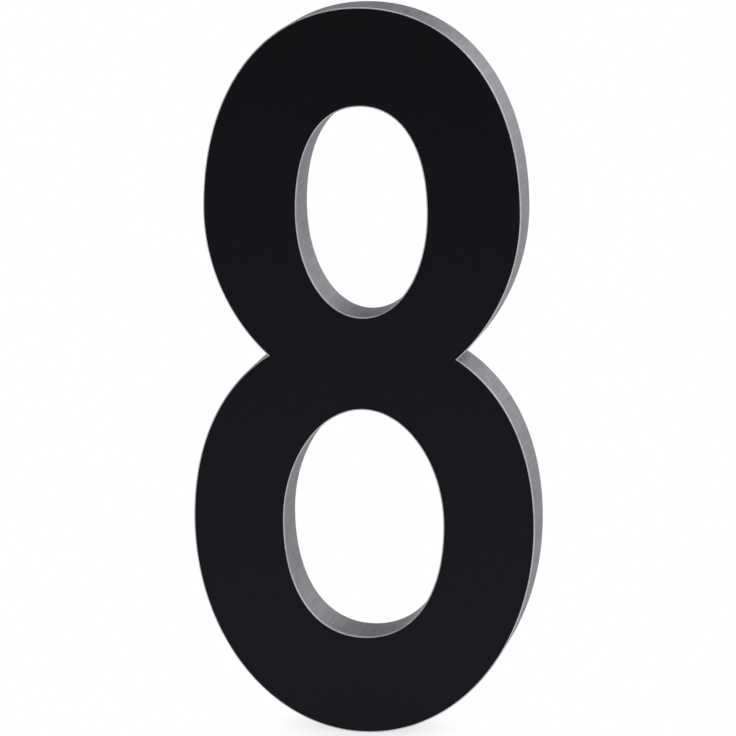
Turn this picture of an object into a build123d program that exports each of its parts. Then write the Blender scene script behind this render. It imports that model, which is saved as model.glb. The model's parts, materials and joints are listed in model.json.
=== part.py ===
from build123d import *
from math import radians, tan
import os

# A house number, the figure eight, cut from one solid aluminium plate and hung on two studs.
# The face looks along -Y, the back lies in the wall plane Y = 0 and Z points up.
# The origin is on the back, midway between the two stud holes. All sizes are in millimetres.

# Up the centre line, from the foot of the figure to its top
bottom_stroke = 20.6
lower_counter_drop = 24.2  # from the bowl's widest line down to the counter's end
lower_counter_rise = 23.9  # and up to its other end
waist_stroke = 19.5
upper_counter_drop = 22.0
upper_counter_rise = 21.7
top_stroke = 20.5

# Across the figure
upper_bowl_width = 66.4
upper_side_stroke = 19.6
lower_bowl_width = 71.9
lower_side_stroke = 19.2
bowl_reach = 6.9  # how far each bowl runs on past the middle of the waist, inside the other one

# Fullness of each half oval: 0.55 is an ellipse, and a larger value is squarer
upper_bowl_top_fullness = 0.60
upper_bowl_bottom_fullness = 0.53
lower_bowl_top_fullness = 0.61
lower_bowl_bottom_fullness = 0.56
upper_counter_top_fullness = 0.62
upper_counter_bottom_fullness = 0.57
lower_counter_top_fullness = 0.54
lower_counter_bottom_fullness = 0.62

# The plate
plate_thickness = 12.7
edge_break = 0.25

# The two tapped holes in the back, one in the top stroke and one in the bottom stroke
stud_hole_diameter = 3.3  # drilled for an M4 thread
stud_hole_countersink = 0.5
stud_hole_floor = 4.2  # metal left between the drill's point and the face
drill_point_angle = 118

# Heights above the foot that follow from the strokes and counters
lower_widest = bottom_stroke + lower_counter_drop
lower_counter_top = lower_widest + lower_counter_rise
waist_middle = lower_counter_top + waist_stroke / 2
upper_counter_bottom = lower_counter_top + waist_stroke
upper_widest = upper_counter_bottom + upper_counter_drop
upper_counter_top = upper_widest + upper_counter_rise
figure_height = upper_counter_top + top_stroke
lower_stud_height = bottom_stroke / 2
upper_stud_height = figure_height - top_stroke / 2
origin_height = (lower_stud_height + upper_stud_height) / 2


def oval(width, bottom, widest, top, bottom_fullness, top_fullness):
    """A face the same left and right, in four curves that meet on its widest line and at its two ends."""
    curves = []
    for end, fullness in ((bottom, bottom_fullness), (top, top_fullness)):
        handle = widest + fullness * (end - widest)
        for side in (-width / 2, width / 2):
            curves.append(Bezier((0, end), (fullness * side, end), (side, handle), (side, widest)))
    return make_face(curves)


def oval_slab(width, bottom, widest, top, bottom_fullness, top_fullness, rim):
    """An oval as thick as the plate, which grows by rim on every side at its two broken rims."""
    sections = []
    for depth, grow in (
        (0, rim),
        (edge_break, 0),
        (plate_thickness - edge_break, 0),
        (plate_thickness, rim),
    ):
        outline = oval(width + 2 * grow, bottom - grow, widest, top + grow, bottom_fullness, top_fullness)
        sections.append(Plane.XZ.offset(depth) * outline)
    return loft(sections, ruled=True)


def bowls():
    """The two solid ovals of the figure, which cross in the sharp notches of the waist."""
    upper = oval_slab(
        upper_bowl_width,
        waist_middle - bowl_reach,
        upper_widest,
        figure_height,
        upper_bowl_bottom_fullness,
        upper_bowl_top_fullness,
        rim=-edge_break,
    )
    lower = oval_slab(
        lower_bowl_width,
        0,
        lower_widest,
        waist_middle + bowl_reach,
        lower_bowl_bottom_fullness,
        lower_bowl_top_fullness,
        rim=-edge_break,
    )
    return upper + lower


def counters():
    """The two openings through the bowls, flared where their rims are broken."""
    upper = oval_slab(
        upper_bowl_width - 2 * upper_side_stroke,
        upper_counter_bottom,
        upper_widest,
        upper_counter_top,
        upper_counter_bottom_fullness,
        upper_counter_top_fullness,
        rim=edge_break,
    )
    lower = oval_slab(
        lower_bowl_width - 2 * lower_side_stroke,
        bottom_stroke,
        lower_widest,
        lower_counter_top,
        lower_counter_bottom_fullness,
        lower_counter_top_fullness,
        rim=edge_break,
    )
    return [upper, lower]


def stud_hole():
    """A blind hole drilled from the back: countersunk mouth, straight wall and the drill's point."""
    radius = stud_hole_diameter / 2
    depth = plate_thickness - stud_hole_floor
    point = radius / tan(radians(drill_point_angle / 2))
    half_section = Polyline(
        (0, 0),
        (radius + stud_hole_countersink, 0),
        (radius, -stud_hole_countersink),
        (radius, point - depth),
        (0, -depth),
        close=True,
    )
    return revolve(make_face(half_section), Axis.Y)


def numeral_eight():
    """The whole plate, drilled in the back and set with its origin between the stud holes."""
    plate = bowls() - counters()
    for height in (lower_stud_height, upper_stud_height):
        plate -= Pos(0, 0, height) * stud_hole()
    return Pos(0, 0, -origin_height) * plate


os.makedirs("parts", exist_ok=True)
export_step(numeral_eight(), "parts/numeral_eight.step")
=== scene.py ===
import json
from math import pi, radians, tan

import bpy
from mathutils import Matrix, Vector


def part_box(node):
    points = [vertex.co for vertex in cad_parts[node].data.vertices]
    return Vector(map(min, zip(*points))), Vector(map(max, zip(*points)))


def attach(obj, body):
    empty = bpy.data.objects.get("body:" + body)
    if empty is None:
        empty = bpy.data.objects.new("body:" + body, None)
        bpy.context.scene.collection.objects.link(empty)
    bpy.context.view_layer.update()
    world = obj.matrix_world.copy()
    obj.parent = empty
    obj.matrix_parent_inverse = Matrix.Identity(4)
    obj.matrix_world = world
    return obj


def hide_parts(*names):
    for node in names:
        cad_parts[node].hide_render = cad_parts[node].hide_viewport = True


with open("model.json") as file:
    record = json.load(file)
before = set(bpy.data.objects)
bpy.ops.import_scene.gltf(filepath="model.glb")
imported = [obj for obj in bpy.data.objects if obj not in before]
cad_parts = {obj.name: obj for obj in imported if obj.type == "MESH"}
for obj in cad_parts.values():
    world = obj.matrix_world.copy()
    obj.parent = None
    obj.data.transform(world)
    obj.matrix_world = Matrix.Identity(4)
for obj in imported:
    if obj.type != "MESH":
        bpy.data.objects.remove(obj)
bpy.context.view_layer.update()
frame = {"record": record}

# The plate is the number itself: one figure eight, routed from half inch aluminium with an end mill that
# runs round the outline and both counters. Its corners are broken with a file, front and back.
# It carries nothing else: the coat on its face and the two tapped holes in its back are worked into it.
plate_low, plate_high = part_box("numeral_eight")
foot = plate_low.z
crown = plate_high.z
face_depth = plate_low.y
back_depth = plate_high.y

bottom_stroke = 0.0206
lower_counter_drop = 0.0242
lower_counter_rise = 0.0239
waist_stroke = 0.0195
upper_counter_drop = 0.0220
top_stroke = 0.0205
lower_side_stroke = 0.0192
upper_side_stroke = 0.0196
upper_bowl_width = 0.0664
lower_bowl_width = plate_high.x - plate_low.x
bowl_reach = 0.0069
edge_break = 0.00025
edge_break_steps = 3
edge_break_roundness = 0.5
end_mill_overrun = 0.002

# Fullness of each oval's lower and upper half: 0.55 is an ellipse, and a larger value is squarer
lower_bowl_fullness = (0.56, 0.61)
lower_counter_fullness = (0.62, 0.54)
upper_bowl_fullness = (0.53, 0.60)
upper_counter_fullness = (0.57, 0.62)
quarter_oval_steps = 72

lower_widest = foot + bottom_stroke + lower_counter_drop
lower_counter_top = lower_widest + lower_counter_rise
waist_middle = lower_counter_top + waist_stroke / 2
upper_counter_bottom = lower_counter_top + waist_stroke
upper_widest = upper_counter_bottom + upper_counter_drop

# Tolerances for picking out and merging what the operators leave, with angles in degrees
hair = 0.00001
weld_distance = 0.000002
rim_angle = 60
level_angle = 0.05


def deselect_all():
    """Lets go of everything, so that the next operator acts on the new piece alone."""
    bpy.ops.object.select_all(action="DESELECT")


def open_piece():
    """Starts editing the active piece, with all of it selected."""
    bpy.ops.object.mode_set(mode="EDIT")
    bpy.ops.mesh.select_all(action="SELECT")


def close_piece():
    """Turns every face of the edited piece outwards, and ends the editing."""
    bpy.ops.mesh.select_all(action="SELECT")
    bpy.ops.mesh.normals_make_consistent(inside=False)
    bpy.ops.object.mode_set(mode="OBJECT")


def oval_slab(name, width, bottom, widest, top, fullness, front, back):
    """A Bezier circle pulled to an oval the same left and right, filled and drawn out from back to front."""
    deselect_all()
    bpy.ops.curve.primitive_bezier_circle_add(radius=width / 2)
    slab = bpy.context.object
    slab.name = name
    slab.data.dimensions = "3D"
    slab.data.resolution_u = quarter_oval_steps
    side = width / 2
    lower_full, upper_full = fullness
    below = widest - lower_full * (widest - bottom)
    above = widest + upper_full * (top - widest)
    outline = (
        ((-side, widest), (-side, below), (-side, above)),
        ((0, top), (-upper_full * side, top), (upper_full * side, top)),
        ((side, widest), (side, above), (side, below)),
        ((0, bottom), (lower_full * side, bottom), (-lower_full * side, bottom)),
    )
    for point, (place, before, after) in zip(slab.data.splines[0].bezier_points, outline):
        point.handle_left_type = "FREE"
        point.handle_right_type = "FREE"
        point.co = (place[0], back, place[1])
        point.handle_left = (before[0], back, before[1])
        point.handle_right = (after[0], back, after[1])
    bpy.ops.object.convert(target="MESH")
    open_piece()
    bpy.ops.mesh.edge_face_add()
    bpy.ops.mesh.extrude_region_move(TRANSFORM_OT_translate={"value": (0, front - back, 0)})
    close_piece()
    return slab


def combine(piece, tool, operation):
    """Joins the tool to the piece or cuts it away, and does away with the tool."""
    deselect_all()
    piece.select_set(True)
    bpy.context.view_layer.objects.active = piece
    boolean = piece.modifiers.new("combine", "BOOLEAN")
    boolean.operation = operation
    boolean.solver = "EXACT"
    boolean.object = tool
    bpy.ops.object.modifier_apply(modifier=boolean.name)
    bpy.data.objects.remove(tool)
    open_piece()
    bpy.ops.mesh.remove_doubles(threshold=weld_distance)
    bpy.ops.object.mode_set(mode="OBJECT")


def break_rims(piece, oval):
    """Rounds off the rims of an oval, front and back, which lie level and inside its width and height."""
    bpy.ops.object.mode_set(mode="EDIT")
    bpy.ops.mesh.select_mode(type="EDGE")
    bpy.ops.mesh.select_all(action="DESELECT")
    bpy.ops.mesh.edges_select_sharp(sharpness=radians(rim_angle))
    bpy.ops.object.mode_set(mode="OBJECT")
    side = oval["width"] / 2 + hair
    low = oval["bottom"] - hair
    high = oval["top"] + hair
    for edge in piece.data.edges:
        ends = [piece.data.vertices[index].co for index in edge.vertices]
        level = abs(ends[0].y - ends[1].y) < hair
        within = all(abs(end.x) < side and low < end.z < high for end in ends)
        if not (level and within):
            edge.select = False
    bpy.ops.object.mode_set(mode="EDIT")
    bpy.ops.mesh.bevel(
        offset=edge_break, segments=edge_break_steps, profile=edge_break_roundness, affect="EDGES"
    )
    bpy.ops.object.mode_set(mode="OBJECT")


def bowl(name, outside, counter):
    """One ring of the figure: a solid oval, broken at its rims, then cut through and broken there too."""
    ring = oval_slab(name, **outside, front=face_depth, back=back_depth)
    break_rims(ring, outside)
    opening = oval_slab(
        name + "_counter", **counter, front=face_depth - end_mill_overrun, back=back_depth + end_mill_overrun
    )
    combine(ring, opening, "DIFFERENCE")
    break_rims(ring, counter)
    return ring


numeral = bowl(
    "figure_eight",
    outside=dict(
        width=lower_bowl_width,
        bottom=foot,
        widest=lower_widest,
        top=waist_middle + bowl_reach,
        fullness=lower_bowl_fullness,
    ),
    counter=dict(
        width=lower_bowl_width - 2 * lower_side_stroke,
        bottom=foot + bottom_stroke,
        widest=lower_widest,
        top=lower_counter_top,
        fullness=lower_counter_fullness,
    ),
)
upper_bowl = bowl(
    "upper_bowl",
    outside=dict(
        width=upper_bowl_width,
        bottom=waist_middle - bowl_reach,
        widest=upper_widest,
        top=crown,
        fullness=upper_bowl_fullness,
    ),
    counter=dict(
        width=upper_bowl_width - 2 * upper_side_stroke,
        bottom=upper_counter_bottom,
        widest=upper_widest,
        top=crown - top_stroke,
        fullness=upper_counter_fullness,
    ),
)
combine(numeral, upper_bowl, "UNION")
open_piece()
bpy.ops.mesh.dissolve_limited(angle_limit=radians(level_angle), use_dissolve_boundaries=False)
bpy.ops.object.mode_set(mode="OBJECT")

# The stud holes are drilled blind in the back, one in the middle of the top stroke and one in the bottom
# stroke, countersunk, and tapped M4 so that two threaded studs screw in and hold the number to the wall.
stud_mount = next(m for m in frame["record"]["mounts"] if m["name"] == "stud_holes")
stud_spacing = stud_mount["dims"]["spacing_y_mm"] / 1000
drill_radius = stud_mount["dims"]["hole_r_mm"] / 1000
drill_depth = 0.0085
drill_point_angle = 118
drill_point = drill_radius / tan(radians(drill_point_angle / 2))
drill_sides = 60
countersink = 0.0005
mouth_radius = drill_radius + 2 * countersink
thread_pitch = 0.0007
thread_angle = 60
thread_radius = 0.0020
thread_overlap = 0.00006
thread_root = drill_radius - thread_overlap
thread_turns = 9
thread_end = 0.0058
thread_steps = 44

# The drill is turned by a trace, in radians, so that its edges don't lie on the thread's
drill_turn = 0.03


def stud_drill(height):
    """The drill's shape as a tool for cutting: a circle drawn down the hole, with its mouth and its point."""
    deselect_all()
    bpy.ops.mesh.primitive_circle_add(
        vertices=drill_sides,
        radius=mouth_radius,
        fill_type="NGON",
        rotation=(pi / 2, drill_turn, 0),
        location=(0, back_depth + countersink, height),
    )
    drill = bpy.context.object
    bpy.ops.object.transform_apply(location=True, rotation=True, scale=True)
    open_piece()
    bpy.ops.mesh.extrude_region_move(TRANSFORM_OT_translate={"value": (0, -2 * countersink, 0)})
    narrowing = drill_radius / mouth_radius
    bpy.ops.transform.resize(value=(narrowing, 1, narrowing))
    for drop in (drill_depth - drill_point - countersink, drill_point):
        bpy.ops.mesh.extrude_region_move(TRANSFORM_OT_translate={"value": (0, -drop, 0)})
    bpy.ops.mesh.merge(type="CENTER")
    close_piece()
    return drill


def stud_tap(height):
    """The tap's shape: a three-cornered tooth wound up the hole by the Screw modifier, closed at its ends."""
    half_tooth = (thread_radius - thread_root) * tan(radians(thread_angle / 2))
    tooth = ((thread_radius, 0), (thread_root, half_tooth), (thread_root, -half_tooth))
    deselect_all()
    bpy.ops.mesh.primitive_circle_add(vertices=len(tooth), radius=half_tooth, fill_type="NOTHING")
    tap = bpy.context.object
    for corner, (across, along) in zip(tap.data.vertices, tooth):
        corner.co = (across, back_depth - thread_end + along, 0)
    screw = tap.modifiers.new("thread", "SCREW")
    screw.axis = "Y"
    screw.screw_offset = thread_pitch
    screw.iterations = thread_turns
    screw.steps = thread_steps
    screw.render_steps = thread_steps
    bpy.ops.object.modifier_apply(modifier=screw.name)
    open_piece()
    bpy.ops.transform.translate(value=(0, 0, height))
    bpy.ops.mesh.fill_holes(sides=len(tooth))
    close_piece()
    return tap


for height in (-stud_spacing / 2, stud_spacing / 2):
    tapped_drill = stud_drill(height)
    combine(tapped_drill, stud_tap(height), "UNION")
    combine(numeral, tapped_drill, "DIFFERENCE")

# The finishes are what the workshop leaves: side walls lined across by the end mill, a back lined upwards by
# the rolls, and rims and stud holes bright from the file and the tap. The face has a satin black coat,
# sprayed on and baked before the rims were filed. Its colour is made paler and bluer towards the foot,
# which is painted light.
smooth_angle = 40
bpy.ops.object.shade_smooth_by_angle(angle=radians(smooth_angle))
normals = numeral.modifiers.new("normals", "WEIGHTED_NORMAL")
normals.keep_sharp = True
bpy.ops.object.modifier_apply(modifier=normals.name)


class Finish:
    """A value in a material's nodes. Arithmetic on such values adds Math nodes, and node() adds any other."""

    def __init__(self, tree, socket=None):
        self.tree = tree
        self.socket = socket

    def node(self, kind, settings, sockets, output=0):
        made = self.tree.nodes.new(kind)
        for name, value in settings.items():
            setattr(made, name, value)
        for name, value in sockets.items():
            if isinstance(value, Finish):
                self.tree.links.new(value.socket, made.inputs[name])
            else:
                made.inputs[name].default_value = value
        return Finish(self.tree, made.outputs[output] if made.outputs else None)

    def math(self, operation, first, second):
        return self.node("ShaderNodeMath", {"operation": operation}, {0: first, 1: second})

    def __add__(self, other):
        return self.math("ADD", self, other)

    def __radd__(self, other):
        return self.math("ADD", other, self)

    def __sub__(self, other):
        return self.math("SUBTRACT", self, other)

    def __rsub__(self, other):
        return self.math("SUBTRACT", other, self)

    def __mul__(self, other):
        return self.math("MULTIPLY", self, other)

    def __rmul__(self, other):
        return self.math("MULTIPLY", other, self)


def new_finish(name):
    """A material with empty nodes, and the start of the expressions that fill them."""
    material = bpy.data.materials.new(name)
    material.use_nodes = True
    material.node_tree.nodes.clear()
    return material, Finish(material.node_tree)


def grain(sheet, per_metre, detail, crispness=0.5):
    """Noise about nought on the object's own coordinates, with its own fineness along each axis."""
    place = sheet.node("ShaderNodeTexCoord", {}, {}, output="Object")
    stretched = sheet.node("ShaderNodeVectorMath", {"operation": "MULTIPLY"}, {0: place, 1: per_metre})
    noise = sheet.node(
        "ShaderNodeTexNoise",
        {},
        {"Vector": stretched, "Scale": 1.0, "Detail": detail, "Roughness": crispness},
    )
    return noise - 0.5


def blend(sheet, factor, first, second):
    """A colour that changes from the first to the second with the factor."""
    return sheet.node(
        "ShaderNodeMix", {"data_type": "RGBA"}, {"Factor": factor, "A": first, "B": second}, output="Result"
    )


blue_cast = (0.94, 0.95, 1.12, 1)


def bare_metal(name, dark, light, roughness, tool_marks):
    """Bare aluminium: cloudy in patches of a few millimetres, bluish in places, and lined by its tool."""
    material, sheet = new_finish(name)
    clouds = grain(sheet, per_metre=(420.0, 260.0, 420.0), detail=4.0)
    marks = grain(sheet, per_metre=tool_marks, detail=4.0, crispness=0.68)
    bloom = grain(sheet, per_metre=(130.0, 90.0, 130.0), detail=2.0)
    bluish = [part * cast for part, cast in zip(light, blue_cast)]
    blueness = 0.35 + 2.2 * bloom
    lightness = 0.5 + 1.2 * clouds + 2.4 * marks
    stained = blend(sheet, blueness, light, bluish)
    bump = sheet.node("ShaderNodeBump", {}, {"Height": marks, "Strength": 0.2, "Distance": 0.00001})
    shader = sheet.node(
        "ShaderNodeBsdfPrincipled",
        {},
        {
            "Base Color": blend(sheet, lightness, dark, stained),
            "Metallic": 1.0,
            "Roughness": roughness + 0.2 * clouds + 0.2 * marks,
            "Specular Tint": (0.7, 0.7, 0.7, 1),
            "Normal": bump,
        },
    )
    sheet.node("ShaderNodeOutputMaterial", {}, {"Surface": shader})
    return material


def black_coat(name, crown_black, painted_lit_foot_black, roughness):
    """Satin black coat with a fine orange peel, with painted light that makes it paler towards the foot."""
    material, sheet = new_finish(name)
    clouds = grain(sheet, per_metre=(70.0, 70.0, 70.0), detail=3.0)
    peel = grain(sheet, per_metre=(1700.0, 1700.0, 1700.0), detail=2.0)
    place = sheet.node("ShaderNodeTexCoord", {}, {}, output="Object")
    height = sheet.node("ShaderNodeSeparateXYZ", {}, {"Vector": place}, output="Z")
    # Painted light: the colour runs from the black at the crown to a paler black at the foot, with random
    # clouds mixed in.
    painted_foot_light_and_clouds = (crown - height) * (1 / (crown - foot)) + 0.3 * clouds
    bump = sheet.node("ShaderNodeBump", {}, {"Height": peel, "Strength": 0.25, "Distance": 0.00005})
    shader = sheet.node(
        "ShaderNodeBsdfPrincipled",
        {},
        {
            "Base Color": blend(sheet, painted_foot_light_and_clouds, crown_black, painted_lit_foot_black),
            "Roughness": roughness + 0.1 * clouds + 0.3 * peel,
            "Specular IOR Level": 0.1,
            "Specular Tint": (0.95, 0.9, 1, 1),
            "Normal": bump,
        },
    )
    sheet.node("ShaderNodeOutputMaterial", {}, {"Surface": shader})
    return material


dull_metal = (0.190, 0.189, 0.194, 1)
pale_metal = (0.298, 0.300, 0.316, 1)
wall_metal = bare_metal(
    "satin_routed_wall", dark=dull_metal, light=pale_metal, roughness=0.56, tool_marks=(2900.0, 70.0, 2900.0)
)
back_metal = bare_metal(
    "rolled_back", dark=dull_metal, light=pale_metal, roughness=0.52, tool_marks=(2400.0, 2400.0, 50.0)
)
cut_metal = bare_metal(
    "bright_filed_rim",
    dark=(0.40, 0.40, 0.41, 1),
    light=(0.60, 0.60, 0.62, 1),
    roughness=0.42,
    tool_marks=(1500.0, 1500.0, 1500.0),
)
# The paler, bluer black given for the foot is painted light.
coat = black_coat(
    "satin_black_coat",
    crown_black=(0.0033, 0.0022, 0.0037, 1),
    painted_lit_foot_black=(0.0110, 0.0104, 0.0142, 1),
    roughness=0.55,
)

finishes = (wall_metal, cut_metal, back_metal, coat)
numeral.data.materials.clear()
for finish in finishes:
    numeral.data.materials.append(finish)

# How far a face's normal has to lie along the plate's thickness, to be flat or to be part of a rim
flat_normal = 0.999
rim_normal = 0.02
for face in numeral.data.polygons:
    off_stud = max(abs(face.center.x), abs(abs(face.center.z) - stud_spacing / 2))
    if face.normal.y < -flat_normal and face.center.y < face_depth + hair:
        face.material_index = finishes.index(coat)
    elif face.normal.y > flat_normal and face.center.y > back_depth - hair:
        face.material_index = finishes.index(back_metal)
    elif abs(face.normal.y) > rim_normal or off_stud < mouth_radius:
        face.material_index = finishes.index(cut_metal)

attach(numeral, "root")
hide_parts("numeral_eight")

# The floor is a wide round sheet of plain pale studio paper, laid flat and turned up all round its rim.
# The number only stands on it. It shows white, apart from the soft shadow that it keeps under the foot.
floor_reach = 5.0
floor_sides = 128
cove_height = 0.8
paper_colour = (0.9, 0.9, 0.9, 1)
shadow_core = 0.006
shadow_reach = 0.023
core_whiteness = 0.74
deselect_all()
bpy.ops.mesh.primitive_circle_add(
    vertices=floor_sides, radius=floor_reach, fill_type="NGON", location=(0, 0, foot)
)
floor = bpy.context.object
floor.name = "studio_floor"
bpy.ops.object.transform_apply(location=True, rotation=False, scale=False)
open_piece()
bpy.ops.mesh.extrude_edges_move(TRANSFORM_OT_translate={"value": (0, 0, cove_height)})
bpy.ops.object.mode_set(mode="OBJECT")

paper, sheet = new_finish("pale_floor_paper")
in_view, in_gloss, in_glass = [
    sheet.node("ShaderNodeLightPath", {}, {}, output=ray)
    for ray in ("Is Camera Ray", "Is Glossy Ray", "Is Transmission Ray")
]
place = sheet.node("ShaderNodeTexCoord", {}, {}, output="Object")
under_foot = (0, face_depth / 2, foot)
away = sheet.node(
    "ShaderNodeVectorMath", {"operation": "DISTANCE"}, {0: place, 1: under_foot}, output="Value"
)
whiteness = sheet.node(
    "ShaderNodeMapRange",
    {"interpolation_type": "SMOOTHSTEP"},
    {
        "Value": away,
        "From Min": shadow_core,
        "From Max": shadow_reach,
        "To Min": core_whiteness,
        "To Max": 1.0,
    },
)
lit = sheet.node("ShaderNodeBsdfDiffuse", {}, {"Color": paper_colour})
white = sheet.node("ShaderNodeEmission", {}, {"Color": (1, 1, 1, 1), "Strength": 1.0})
shown_white = whiteness * (in_view + in_gloss + in_glass)
mixed = sheet.node("ShaderNodeMixShader", {}, {0: shown_white, 1: lit, 2: white})
sheet.node("ShaderNodeOutputMaterial", {}, {"Surface": mixed})
floor.data.materials.append(paper)

# The light is a plain studio's: a wide bank overhead, a softbox before and one behind the number on its
# right, a fill behind it on its left, and a small lamp close behind its upper half. All are round cloth
# discs on stands, aimed at the number in a grey room.
room_grey = (0.38, 0.38, 0.38, 1)
bpy.context.scene.view_settings.view_transform = "Standard"
room = bpy.data.worlds.new("studio_room")
bpy.context.scene.world = room
room.use_nodes = True
room.node_tree.nodes["Background"].inputs["Color"].default_value = room_grey


def lamp(name, place, size, radiance):
    """A round softbox that points at the number, with the power that gives its cloth this radiance."""
    disc = bpy.data.lights.new(name, "AREA")
    disc.shape = "DISK"
    disc.size = size
    disc.energy = radiance * (pi * size / 2) ** 2
    stand = bpy.data.objects.new(name, disc)
    bpy.context.collection.objects.link(stand)
    stand.location = place
    stand.rotation_euler = (-Vector(place)).to_track_quat("-Z", "Y").to_euler()
    stand.visible_camera = False


lamp("overhead_bank", (0, 0.3, 2.2), size=2.6, radiance=1.2)
lamp("right_rear_softbox", (0.45, 0.45, 0.3), size=0.5, radiance=2.4)
lamp("right_front_softbox", (0.72, -0.19, 0.52), size=0.6, radiance=1.75)
lamp("left_fill", (-0.8, 0.6, 0.12), size=0.7, radiance=1.4)
lamp("near_kicker", (0.12, 0.24, 0.19), size=0.13, radiance=1.1)

# The camera stands a metre off on a tripod, a little to the right of the number and a little above it,
# and looks slightly down at it through a long lens. Its angles are in degrees.
camera_place = (0.170322, -1.000449, 0.181316)
camera_turn = 9.7164
camera_dip = 10.1781
camera_roll = -0.4087
camera_data = bpy.data.cameras.new("camera")
camera_data.sensor_width = 36
camera_data.lens = 240.854
camera = bpy.data.objects.new("camera", camera_data)
bpy.context.collection.objects.link(camera)
camera.matrix_world = (
    Matrix.Translation(camera_place)
    @ Matrix.Rotation(radians(camera_turn), 4, "Z")
    @ Matrix.Rotation(radians(90 - camera_dip), 4, "X")
    @ Matrix.Rotation(radians(camera_roll), 4, "Z")
)
bpy.context.scene.camera = camera
